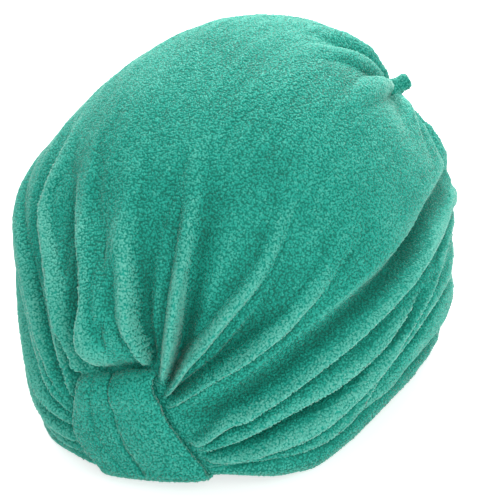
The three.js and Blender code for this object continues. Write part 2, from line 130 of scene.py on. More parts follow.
# Folds that run from the band over the crown. Each row: place from the front seam (0) to the back seam (1),
# place across (0 top line, 1 rim on +X), half width in mm towards -X and towards +X, height in mm,
# and how far the crest leans towards +X, as a share of its height.
FOLDS = {
    "A": [
        (0.020, 0.387, 2.5, 2.3, 1.3, 0.0),
        (0.055, 0.377, 3.6, 3.4, 7.6, 0.1),
        (0.106, 0.302, 3.9, 3.7, 9.6, 0.1),
        (0.148, 0.253, 4.1, 3.9, 9.0, 0.1),
        (0.194, 0.218, 4.4, 4.1, 7.0, 0.1),
        (0.244, 0.192, 4.9, 4.7, 4.8, 0.0),
        (0.300, 0.160, 5.7, 5.4, 2.5, 0.0),
        (0.355, 0.122, 6.6, 6.2, 1.2, 0.0),
        (0.434, 0.107, 7.3, 6.9, 0.0, 0.0),
    ],
    "B": [
        (0.020, 0.350, 2.8, 2.8, 1.1, 0.0),
        (0.054, 0.300, 3.1, 3.0, 5.8, 0.0),
        (0.091, 0.189, 4.3, 3.3, 7.6, 0.1),
        (0.120, 0.113, 5.9, 3.8, 7.6, 0.1),
        (0.162, 0.069, 7.1, 4.6, 7.1, 0.1),
        (0.194, 0.035, 7.4, 5.4, 6.0, 0.0),
        (0.231, 0.010, 7.4, 6.7, 4.4, 0.0),
        (0.289, -0.005, 7.8, 7.5, 2.1, 0.0),
        (0.361, -0.011, 8.6, 8.3, 0.0, 0.0),
    ],
    "B_crest": [
        (0.072, 0.065, 4.0, 5.0, 0.5, 0.0),
        (0.115, 0.036, 5.0, 7.0, 2.4, 0.0),
        (0.150, 0.017, 5.0, 8.0, 3.0, 0.0),
        (0.184, -0.003, 5.0, 8.0, 3.0, 0.0),
        (0.223, -0.013, 6.0, 8.0, 2.6, 0.0),
        (0.257, -0.022, 7.0, 8.0, 2.0, 0.0),
        (0.330, -0.021, 8.0, 8.0, 0.0, 0.0),
    ],
    "C_panel": [
        (0.030, -0.080, 3.0, 8.0, 1.5, 0.0),
        (0.059, -0.100, 3.4, 9.0, 5.0, -0.2),
        (0.087, -0.110, 4.0, 11.0, 6.5, -0.2),
        (0.134, -0.065, 4.4, 12.0, 6.5, -0.2),
        (0.173, -0.090, 5.0, 12.0, 5.5, -0.1),
        (0.223, -0.138, 6.0, 12.0, 4.0, 0.0),
        (0.260, -0.164, 8.0, 12.0, 2.6, 0.0),
        (0.335, -0.172, 10.0, 12.0, 1.0, 0.0),
        (0.410, -0.178, 12.0, 12.0, 0.0, 0.0),
    ],
    "C": [
        (0.020, -0.327, 2.8, 2.8, 0.9, 0.0),
        (0.061, -0.329, 3.2, 4.0, 5.2, -0.3),
        (0.108, -0.240, 3.4, 4.0, 6.4, -0.3),
        (0.156, -0.235, 3.6, 4.0, 6.4, -0.3),
        (0.200, -0.271, 3.8, 4.0, 5.9, -0.3),
        (0.251, -0.304, 4.2, 4.0, 4.8, -0.2),
        (0.288, -0.307, 4.8, 4.0, 3.7, -0.1),
        (0.326, -0.282, 5.5, 7.0, 2.6, 0.0),
        (0.369, -0.267, 7.4, 8.3, 1.4, 0.0),
        (0.455, -0.258, 8.3, 9.2, 0.0, 0.0),
    ],
    "M": [
        (0.050, -0.560, 3.0, 3.0, 1.0, 0.0),
        (0.079, -0.480, 3.4, 3.4, 4.0, 0.0),
        (0.095, -0.410, 3.4, 3.4, 4.0, 0.0),
        (0.120, -0.400, 3.4, 3.4, 2.5, 0.0),
        (0.150, -0.400, 4.0, 4.0, 0.0, 0.0),
    ],
    "K": [
        (0.050, -0.600, 2.8, 2.8, 0.6, 0.0),
        (0.099, -0.560, 3.7, 3.7, 4.6, -0.1),
        (0.134, -0.490, 4.6, 4.2, 7.6, -0.1),
        (0.184, -0.456, 5.2, 4.6, 8.5, -0.1),
        (0.234, -0.453, 6.0, 5.0, 8.0, -0.1),
        (0.294, -0.460, 6.9, 5.9, 6.4, 0.0),
        (0.366, -0.470, 8.3, 7.4, 4.6, 0.0),
        (0.450, -0.460, 10.1, 9.2, 2.3, 0.0),
        (0.560, -0.440, 11.0, 10.1, 0.9, 0.0),
        (0.700, -0.420, 11.0, 11.0, 0.0, 0.0),
    ],
    "N": [
        (0.050, -0.640, 3.0, 3.0, 0.5, 0.0),
        (0.079, -0.620, 3.4, 3.4, 4.4, 0.0),
        (0.112, -0.600, 4.2, 4.0, 6.4, 0.0),
        (0.150, -0.560, 5.0, 4.4, 6.0, 0.0),
        (0.200, -0.555, 6.0, 5.0, 5.0, 0.0),
        (0.300, -0.560, 7.0, 6.0, 3.6, 0.0),
        (0.450, -0.560, 8.0, 7.0, 2.4, 0.0),
        (0.650, -0.540, 9.0, 8.0, 1.6, 0.0),
        (0.850, -0.540, 7.0, 7.0, 1.4, 0.0),
        (1.000, -0.560, 4.0, 4.0, 0.0, 0.0),
    ],
    "F_far": [
        (0.040, -0.690, 3.0, 3.0, 0.5, 0.0),
        (0.100, -0.695, 4.6, 4.6, 6.0, -0.2),
        (0.150, -0.690, 5.6, 5.6, 7.4, -0.3),
        (0.250, -0.670, 7.0, 7.0, 7.6, -0.3),
        (0.360, -0.660, 8.0, 8.0, 7.0, -0.3),
        (0.500, -0.650, 8.5, 8.5, 5.6, -0.2),
        (0.650, -0.640, 8.5, 8.5, 4.0, -0.2),
        (0.800, -0.650, 7.0, 7.0, 3.0, 0.0),
        (1.000, -0.680, 4.0, 4.0, 0.0, 0.0),
    ],
    "G_far": [
        (0.040, -0.800, 3.0, 3.0, 0.5, 0.0),
        (0.100, -0.810, 4.4, 4.4, 5.5, -0.2),
        (0.200, -0.805, 6.0, 6.0, 7.2, -0.3),
        (0.360, -0.790, 7.0, 7.0, 6.4, -0.3),
        (0.500, -0.780, 7.5, 7.5, 5.2, -0.2),
        (0.650, -0.770, 7.5, 7.5, 4.0, -0.2),
        (0.800, -0.780, 7.0, 7.0, 3.0, 0.0),
        (1.000, -0.800, 4.0, 4.0, 0.0, 0.0),
    ],
    "H_far": [
        (0.060, -0.900, 3.0, 3.0, 0.5, 0.0),
        (0.130, -0.900, 4.0, 4.0, 4.5, -0.2),
        (0.250, -0.900, 5.0, 5.0, 5.2, -0.3),
        (0.400, -0.885, 5.5, 5.5, 4.4, -0.2),
        (0.600, -0.875, 6.0, 6.0, 3.0, -0.1),
        (0.800, -0.880, 6.0, 6.0, 2.2, 0.0),
        (1.000, -0.900, 4.0, 4.0, 0.0, 0.0),
    ],
    "D": [
        (0.020, 0.418, 2.5, 1.9, 1.2, 0.0),
        (0.078, 0.401, 2.7, 2.2, 6.8, 0.1),
        (0.113, 0.386, 3.0, 2.5, 8.5, 0.1),
        (0.149, 0.392, 3.3, 2.8, 8.5, 0.1),
        (0.189, 0.396, 3.5, 3.1, 7.8, 0.1),
        (0.225, 0.401, 3.9, 3.6, 6.4, 0.1),
        (0.264, 0.403, 4.6, 4.2, 4.8, 0.0),
        (0.301, 0.391, 5.3, 4.7, 3.2, 0.0),
        (0.340, 0.370, 5.8, 5.3, 1.6, 0.0),
        (0.422, 0.350, 6.6, 5.8, 0.0, 0.0),
    ],
    "E": [
        (0.020, 0.445, 2.5, 2.0, 0.6, 0.0),
        (0.064, 0.461, 2.5, 2.3, 5.7, 0.1),
        (0.111, 0.479, 3.2, 2.9, 8.0, 0.2),
        (0.164, 0.508, 3.8, 3.1, 8.6, 0.2),
        (0.209, 0.527, 4.4, 3.5, 8.0, 0.2),
        (0.256, 0.545, 5.1, 3.7, 6.6, 0.1),
        (0.296, 0.543, 5.7, 4.3, 5.0, 0.0),
        (0.334, 0.535, 6.4, 4.8, 3.2, 0.0),
        (0.371, 0.522, 7.0, 5.7, 1.6, 0.0),
        (0.455, 0.503, 7.6, 6.3, 0.0, 0.0),
    ],
    "F": [
        (0.030, 0.696, 3.0, 3.0, 0.5, 0.0),
        (0.067, 0.710, 2.6, 3.6, 4.8, 0.2),
        (0.125, 0.657, 3.1, 4.5, 7.6, 0.3),
        (0.163, 0.674, 3.7, 5.0, 8.4, 0.3),
        (0.211, 0.676, 4.2, 5.4, 8.5, 0.4),
        (0.262, 0.675, 4.8, 5.4, 8.5, 0.4),
        (0.324, 0.676, 5.0, 5.4, 8.5, 0.4),
        (0.391, 0.677, 5.3, 5.4, 8.4, 0.4),
        (0.465, 0.674, 5.3, 5.4, 7.6, 0.4),
        (0.538, 0.666, 5.3, 5.4, 6.6, 0.3),
        (0.607, 0.663, 5.3, 5.8, 5.5, 0.2),
        (0.698, 0.643, 5.3, 6.3, 3.8, 0.1),
        (0.850, 0.672, 8.0, 7.0, 3.0, 0.0),
        (1.030, 0.690, 4.0, 4.0, 0.0, 0.0),
    ],
    "F_low": [
        (0.040, 0.767, 3.0, 3.0, 0.5, 0.0),
        (0.086, 0.768, 4.0, 3.6, 4.5, 0.2),
        (0.123, 0.746, 4.6, 3.8, 6.0, 0.3),
        (0.206, 0.744, 5.4, 3.8, 7.0, 0.4),
        (0.261, 0.751, 5.6, 3.8, 7.0, 0.4),
        (0.325, 0.760, 5.6, 3.8, 6.6, 0.4),
        (0.379, 0.756, 5.6, 3.8, 6.2, 0.4),
        (0.436, 0.752, 5.4, 3.8, 5.4, 0.3),
        (0.514, 0.746, 5.0, 3.8, 4.0, 0.2),
        (0.560, 0.720, 5.0, 4.0, 2.4, 0.0),
        (0.685, 0.710, 5.0, 5.0, 0.0, 0.0),
    ],
    "G": [
        (0.040, 0.860, 2.4, 2.7, 0.5, 0.0),
        (0.077, 0.867, 3.2, 3.4, 4.6, 0.1),
        (0.137, 0.868, 4.8, 4.5, 7.4, 0.2),
        (0.197, 0.853, 5.9, 5.4, 8.8, 0.2),
        (0.249, 0.852, 6.4, 5.8, 9.2, 0.2),
        (0.297, 0.848, 6.4, 5.8, 9.2, 0.2),
        (0.349, 0.840, 6.4, 5.8, 9.0, 0.2),
        (0.399, 0.825, 6.4, 5.8, 8.6, 0.2),
        (0.429, 0.805, 6.1, 5.8, 8.2, 0.2),
        (0.474, 0.772, 5.3, 5.8, 7.6, 0.2),
        (0.529, 0.745, 4.8, 5.6, 6.8, 0.1),
        (0.586, 0.722, 4.5, 5.4, 5.6, 0.0),
        (0.640, 0.700, 4.5, 5.4, 4.0, 0.0),
        (0.740, 0.690, 4.8, 5.4, 1.5, 0.0),
        (0.850, 0.690, 4.8, 5.4, 0.0, 0.0),
    ],
    "H": [
        (0.060, 0.930, 2.6, 2.6, 0.5, 0.0),
        (0.150, 0.915, 3.6, 3.4, 3.6, 0.2),
        (0.242, 0.905, 4.2, 3.6, 6.4, 0.4),
        (0.304, 0.904, 4.2, 3.6, 6.8, 0.4),
        (0.356, 0.892, 4.2, 3.6, 6.4, 0.4),
        (0.389, 0.872, 4.2, 3.8, 5.6, 0.3),
        (0.430, 0.845, 4.2, 4.0, 4.4, 0.1),
        (0.500, 0.810, 4.6, 4.2, 3.4, 0.0),
        (0.600, 0.780, 5.0, 5.0, 2.4, 0.0),
        (0.750, 0.770, 6.0, 6.0, 1.5, 0.0),
        (0.900, 0.780, 6.0, 6.0, 0.0, 0.0),
    ],
    "R": [
        (0.340, 0.960, 4.0, 4.0, 0.0, 0.0),
        (0.400, 0.945, 6.0, 5.0, 2.5, 0.0),
        (0.460, 0.925, 9.0, 7.0, 5.0, 0.0),
        (0.520, 0.895, 11.0, 10.0, 6.4, 0.0),
        (0.590, 0.872, 13.0, 12.0, 6.6, 0.0),
        (0.660, 0.860, 14.0, 12.0, 6.0, 0.0),
        (0.740, 0.860, 13.0, 11.0, 4.4, 0.0),
        (0.850, 0.870, 10.0, 9.0, 2.5, 0.0),
        (1.000, 0.900, 4.0, 4.0, 0.0, 0.0),
    ],
}

# Creases pressed into the cloth between the folds, in the same columns with a depth for the height
CREASES = {
    "A_B": [
        (0.048, 0.346, 2.5, 2.5, 1.6, 0.0),
        (0.077, 0.267, 3.4, 3.4, 4.8, 0.0),
        (0.128, 0.152, 5.7, 5.7, 5.4, 0.0),
        (0.180, 0.107, 7.6, 7.6, 3.8, 0.0),
        (0.251, 0.088, 9.5, 9.5, 1.6, 0.0),
        (0.321, 0.078, 11.4, 11.4, 0.0, 0.0),
    ],
    "A_D": [
        (0.048, 0.394, 2.5, 2.5, 1.6, 0.0),
        (0.081, 0.361, 3.0, 4.0, 6.5, 0.0),
        (0.127, 0.319, 3.4, 7.0, 6.5, 0.0),
        (0.174, 0.283, 3.6, 9.0, 4.8, 0.0),
        (0.231, 0.249, 4.0, 10.0, 2.8, 0.0),
        (0.291, 0.218, 5.0, 12.0, 1.2, 0.0),
        (0.362, 0.199, 6.0, 12.0, 0.0, 0.0),
    ],
    "D_E": [
        (0.048, 0.439, 2.5, 2.5, 1.6, 0.0),
        (0.089, 0.455, 3.0, 4.0, 5.0, 0.0),
        (0.154, 0.476, 3.4, 7.0, 4.6, 0.0),
        (0.230, 0.473, 3.8, 9.0, 2.8, 0.0),
        (0.302, 0.449, 4.6, 10.0, 1.2, 0.0),
        (0.372, 0.422, 6.0, 11.0, 0.0, 0.0),
    ],
    "E_F": [
        (0.040, 0.580, 4.0, 4.0, 0.5, 0.0),
        (0.064, 0.585, 5.0, 5.0, 1.4, 0.0),
        (0.112, 0.606, 7.0, 6.0, 2.6, 0.0),
        (0.172, 0.634, 8.0, 7.0, 3.4, 0.0),
        (0.239, 0.641, 9.0, 7.0, 3.6, 0.0),
        (0.330, 0.648, 9.0, 7.0, 4.0, 0.0),
        (0.436, 0.652, 8.0, 6.0, 5.6, 0.0),
        (0.509, 0.643, 8.0, 6.0, 7.0, 0.0),
        (0.574, 0.622, 8.0, 6.0, 7.0, 0.0),
        (0.654, 0.606, 8.0, 7.0, 5.0, 0.0),
        (0.760, 0.580, 9.0, 8.0, 2.0, 0.0),
        (0.880, 0.560, 9.0, 8.0, 0.0, 0.0),
    ],
    "P": [
        (0.130, 0.815, 3.0, 3.0, 1.2, 0.0),
        (0.219, 0.800, 3.4, 3.4, 5.0, 0.0),
        (0.269, 0.806, 3.4, 3.4, 6.8, 0.0),
        (0.332, 0.804, 3.4, 3.4, 7.5, 0.0),
        (0.389, 0.790, 3.4, 3.4, 7.5, 0.0),
        (0.436, 0.774, 3.2, 3.2, 6.8, 0.0),
        (0.494, 0.752, 3.0, 3.0, 5.0, 0.0),
        (0.560, 0.730, 3.0, 3.0, 2.0, 0.0),
        (0.620, 0.715, 3.0, 3.0, 0.0, 0.0),
    ],
    "Q": [
        (0.180, 0.930, 3.0, 4.0, 0.0, 0.0),
        (0.235, 0.945, 4.0, 5.0, 5.6, 0.0),
        (0.289, 0.950, 4.5, 6.0, 7.5, 0.0),
        (0.346, 0.935, 4.5, 6.0, 7.5, 0.0),
        (0.390, 0.912, 4.0, 5.0, 5.8, 0.0),
        (0.450, 0.875, 4.0, 4.0, 4.5, 0.0),
        (0.520, 0.845, 4.0, 4.0, 3.8, 0.0),
        (0.600, 0.810, 4.0, 4.0, 2.5, 0.0),
        (0.700, 0.800, 4.0, 4.0, 0.0, 0.0),
    ],
    "C_left": [
        (0.040, -0.396, 4.0, 3.0, 4.0, 0.0),
        (0.070, -0.368, 8.0, 3.0, 6.0, 0.0),
        (0.100, -0.302, 11.0, 3.0, 7.0, 0.0),
        (0.150, -0.273, 14.0, 3.4, 7.0, 0.0),
        (0.210, -0.308, 16.0, 3.4, 7.0, 0.0),
        (0.280, -0.333, 16.0, 4.0, 6.0, 0.0),
        (0.360, -0.293, 14.0, 6.0, 4.0, 0.0),
        (0.450, -0.280, 9.0, 9.0, 0.0, 0.0),
    ],
    "C_right": [
        (0.040, -0.174, 4.0, 3.0, 4.0, 0.0),
        (0.070, -0.174, 8.0, 4.0, 7.0, 0.0),
        (0.100, -0.156, 11.0, 4.0, 8.0, 0.0),
        (0.150, -0.122, 13.0, 4.0, 8.0, 0.0),
        (0.200, -0.154, 14.0, 4.4, 6.5, 0.0),
        (0.260, -0.197, 13.0, 6.0, 4.0, 0.0),
        (0.330, -0.200, 10.0, 8.0, 1.2, 0.0),
        (0.400, -0.204, 8.0, 8.0, 0.0, 0.0),
    ],
    "B_left": [
        (0.076, 0.030, 3.0, 3.0, 0.6, 0.0),
        (0.112, -0.031, 5.0, 4.0, 1.6, 0.0),
        (0.158, -0.059, 7.0, 4.6, 2.0, 0.0),
        (0.217, -0.083, 8.0, 5.0, 1.4, 0.0),
        (0.302, -0.095, 9.0, 6.0, 0.0, 0.0),
    ],
}

# Where the cloth stands out from the plain form or lies in from it, in mm, by place along and across
SWELLS = [
    (0.714, 0.711, -9.0),
    (0.742, 0.607, 9.0),
    (0.762, 0.435, -5.1),
    (0.769, 0.319, -5.4),
    (0.772, 0.098, 2.5),
    (0.729, 0.002, -1.2),
    (0.692, -0.002, -3.8),
    (0.644, -0.054, 5.1),
    (0.596, -0.138, 1.4),
    (0.551, -0.210, -0.5),
    (0.506, -0.275, -2.6),
    (0.471, -0.339, -4.3),
    (0.431, -0.403, 2.9),
    (0.388, -0.471, 2.0),
    (0.346, -0.539, 1.3),
    (0.303, -0.611, -8.5),
    (0.266, -0.691, -9.0),
    (0.231, -0.784, -3.5),
    (0.201, -0.900, 2.9),
    (0.145, -1.000, -2.2),
    (0.073, -1.000, 1.6),
    (0.165, 1.000, -0.1),
    (0.251, 1.000, 5.0),
    (0.341, 1.000, -3.5),
    (0.434, 1.000, -9.0),
    (0.516, 1.000, -6.0),
    (0.584, 0.992, -8.2),
    (0.634, 0.916, 1.6),
    (0.677, 0.820, 3.1),
]
SWELL_REACH = 20.0

# Folds that run into the gathered tip: bearing from the tip in degrees (0 towards the front, 90 towards
# the rim on +X), how it bends per 10 mm away, half width in mm at 20 mm out, length in mm, height in mm
TIP_FOLDS = [
    {"bearing": -66, "bend": -1.0, "half": 8.0, "length": 66, "height": 3.5},
    {"bearing": -38, "bend": -1.2, "half": 6.4, "length": 78, "height": 7.5},
    {"bearing": -14, "bend": -0.8, "half": 4.6, "length": 88, "height": 5.0},
    {"bearing": 6, "bend": 0.6, "half": 4.4, "length": 96, "height": 6.0},
    {"bearing": 50, "bend": 0.6, "half": 6.4, "length": 60, "height": 6.5},
    {"bearing": 72, "bend": 1.0, "half": 6.0, "length": 62, "height": 5.0},
    {"bearing": 104, "bend": 1.0, "half": 6.0, "length": 66, "height": 6.0},
    {"bearing": 136, "bend": -0.6, "half": 6.0, "length": 62, "height": 5.0},
    {"bearing": 170, "bend": -0.8, "half": 5.6, "length": 70, "height": 6.0},
    {"bearing": 204, "bend": 0.6, "half": 6.0, "length": 60, "height": 5.0},
    {"bearing": 236, "bend": 0.8, "half": 6.0, "length": 66, "height": 6.0},
    {"bearing": 266, "bend": 0.6, "half": 6.0, "length": 60, "height": 5.0},
]


def mix(a, b, t):
    return a + (b - a) * t


def ease(x, low, high):
    t = np.clip((x - low) / (high - low), 0, 1)
    return t * t * (3 - 2 * t)


def unit(v):
    return v / np.maximum(np.linalg.norm(v, axis=-1, keepdims=True), 1e-9)


def smooth_line(at, values, x):
    """A smooth curve through a few stations that doesn't overshoot them. It's level past both ends."""
    at = np.asarray(at, float)
    values = np.asarray(values, float)
    steps = np.diff(at)
    rises = np.diff(values) / steps
    slopes = np.zeros(len(at))
    same = rises[:-1] * rises[1:] > 0
    a = 2 * steps[1:] + steps[:-1]
    b = steps[1:] + 2 * steps[:-1]
    with np.errstate(divide="ignore", invalid="ignore"):
        middle = (a + b) / (a / rises[:-1] + b / rises[1:])
    slopes[1:-1] = np.where(same, middle, 0)
    slopes[0] = rises[0]
    slopes[-1] = rises[-1]
    x = np.clip(x, at[0], at[-1])
    k = np.clip(np.searchsorted(at, x, side="right") - 1, 0, len(steps) - 1)
    t = (x - at[k]) / steps[k]
    h = steps[k]
    return (
        values[k] * (1 + 2 * t) * (1 - t) ** 2
        + slopes[k] * h * t * (1 - t) ** 2
        + values[k + 1] * t * t * (3 - 2 * t)
        + slopes[k + 1] * h * t * t * (t - 1)
    )


def form(u, v):
    """Crown without folds: u runs from the front seam (0) to the back seam (1), v across."""
    u, v = np.broadcast_arrays(np.asarray(u, float), np.asarray(v, float))
    turn = np.pi * u
    side = np.abs(v)
    lean = side * RIM_ANGLE
    s = np.sin(np.clip(turn, 0, np.pi))
    c = np.cos(turn)
    front_z = SEAM_TOP * (1 - side)
    back_z = TIP_HEIGHT * (1 - side)
    rise = np.where(
        np.cos(lean) > 0,
        mix(WIDEST_HEIGHT, APEX_HEIGHT, np.cos(lean)),
        mix(WIDEST_HEIGHT, -RIM_SIDE_DROP, np.cos(lean) / math.cos(RIM_ANGLE)),
    )
    arch = np.maximum(s, 0) ** ARCH_ROUNDNESS
    z = mix(front_z, back_z, (1 - c) / 2) + (rise - (front_z + back_z) / 2) * arch
    to_rim = ease(lean, math.radians(60), RIM_ANGLE)
    reach = np.where(
        c > 0, mix(FRONT_REACH, RIM_FRONT_REACH, to_rim), mix(BACK_REACH, RIM_BACK_REACH, to_rim)
    )
    front_share = ((1 + c) / 2) ** 4
    back_share = ((1 - c) / 2) ** 4
    x = (
        np.sign(v) * HALF_WIDTH * np.sin(lean) * np.maximum(s, 0) ** PLAN_ROUNDNESS
        + FRONT_SEAM_LEAN * side * front_share
        + TIP_SIDE * (1 - side * 0.8) * back_share
    )
    return np.stack([x, -reach * c, z], -1)


def outward(p):
    tall = APEX_HEIGHT - WIDEST_HEIGHT
    deep = np.where(p[..., 1] < 0, FRONT_REACH, BACK_REACH)
    aside = np.minimum(np.abs(p[..., 0]) / (HALF_WIDTH * math.sin(RIM_ANGLE)), 1)
    tilt = np.where(p[..., 2] < WIDEST_HEIGHT, mix(0.2, 1, aside**2), 1)
    return unit(
        np.stack(
            [
                p[..., 0] / HALF_WIDTH**2,
                p[..., 1] / deep**2,
                tilt * (p[..., 2] - WIDEST_HEIGHT) / tall**2,
            ],
            -1,
        )
    )


def swell(p):
    """How far the cloth stands out of the plain form at points on it."""
    weight = np.full(p.shape[:-1], 0.35)
    total = np.zeros(p.shape[:-1])
    for u, v, out in SWELLS:
        near = np.exp(-np.sum((p - form(u, v)) ** 2, -1) / (2 * SWELL_REACH**2))
        weight = weight + near
        total = total + near * out
    return total / weight


def band_tilt(x, down=0.0):
    """The slanting band's rise at x over its middle, where down is 0 at its top and 1 at its foot."""
    return mix(BAND_TOP_TILT, BAND_FOOT_TILT, np.clip(down, 0, 1)) * (x - BAND_TILT_FROM)


def front_rise(p):
    """How far the rim is drawn up at the front, where the band pulls it."""
    drawn = FRONT_RISE + band_tilt(np.clip(p[..., 0], -30, 45), 1.0)
    return drawn * (1 - ease(p[..., 1], -104.0, -60.0)) * (1 - ease(p[..., 2], 2.0, 30.0))


# Hem size round the opening: slim under the band and at the back seam
def fullness(u):
    return ease(u, 0.1, 0.24) * (1 - 0.35 * ease(u, 0.86, 1))


def down_at(u, side):
    out = outward(form(u, side * 0.97))
    slope = (form(u, side) - form(u, side * 0.94)) / 0.06
    return slope - out * np.sum(slope * out, -1, keepdims=True)


def edge_place(u, side, tuck=1.6 * CLEARANCE):
    height = mix(HEM_FRONT_HEIGHT, HEM_HEIGHT, fullness(u))
    return 1 - (height + tuck) / np.linalg.norm(down_at(u, side), axis=-1)


# Band outline down its length: centre and half width as shares of BAND_HALF_WIDTH
BAND_DOWN = [0, 0.15, 0.33, 0.55, 0.78, 1, 1.2, 2]
BAND_CENTRE = [0.0, -0.03, -0.05, 0.0, 0.16, 0.36, 0.42, 0.45]
BAND_HALF = [0.8, 0.89, 0.98, 1.09, 1.12, 1.08, 1.04, 0.98]
TURN_RADIUS = (WALL + 2 * CLEARANCE + BAND_THICK) / 2
TURN_HEIGHT = TURN_RADIUS - BAND_THICK / 2 - CLEARANCE + BAND_LIFT
BAND_DROP = BAND_TOP - TURN_HEIGHT


def band_centre(down):
    return BAND_HALF_WIDTH * smooth_line(BAND_DOWN, BAND_CENTRE, down)


def band_half(down):
    return BAND_HALF_WIDTH * smooth_line(BAND_DOWN, BAND_HALF, down)


def clear_of_band(p):
    """0 where the band lies on the crown, 1 clear of it."""
    down = (BAND_TOP + band_tilt(p[..., 0]) - p[..., 2]) / BAND_DROP
    aside = np.abs(p[..., 0] - band_centre(down)) - band_half(down)
    beside = ease(aside, -1.5, 4.5)
    above = ease(-down * BAND_DROP, 0.0, 8.0)
    return np.where(p[..., 1] > 0, 1.0, np.maximum(beside, above))


def wander(shape, cells, seed):
    """Smooth seeded noise from -1 to 1 over a grid."""
    rng = np.random.default_rng(seed)
    coarse = rng.uniform(-1, 1, (cells[0] + 2, cells[1] + 2))
    found = coarse
    for axis in (0, 1):
        place = np.linspace(0.5, cells[axis] + 0.49, shape[axis])
        k = place.astype(int)
        t = place - k
        t = t * t * (3 - 2 * t)
        t = t[:, None] if axis == 0 else t[None, :]
        found = mix(np.take(found, k, axis), np.take(found, k + 1, axis), t)
    return found


def grid_normals(p):
    along = np.gradient(p, axis=0)
    across = np.gradient(p, axis=1)
    return unit(np.cross(across, along))


def arc_even_rows(count):
    """Places from seam to seam that are evenly spaced along the crown's middle line."""
    fine = np.linspace(0, 1, 2000)
    steps = np.zeros(len(fine))
    for v in (-0.6, -0.3, 0.0, 0.3, 0.6):
        line = form(fine, np.full(len(fine), v))
        steps[1:] += np.linalg.norm(np.diff(line, axis=0), axis=1)
    length = np.cumsum(steps)
    return np.interp(np.linspace(0, length[-1], count), length, fine)


def fold_profile(t, crisp):
    return np.clip(1 - t * t, 0, None) ** crisp


def averaged(values, length, reach):
    """Each row's values averaged over a reach in mm to both sides."""
    found = np.empty_like(values)
    columns = values.shape[1]
    for i, row in enumerate(values):
        half = max(int(reach * columns / length[i, -1]), 1)
        weights = np.hanning(2 * half + 3)[1:-1]
        padded = np.concatenate([np.full(half, row[0]), row, np.full(half, row[-1])])
        found[i] = np.convolve(padded, weights / weights.sum(), "valid")
    return found


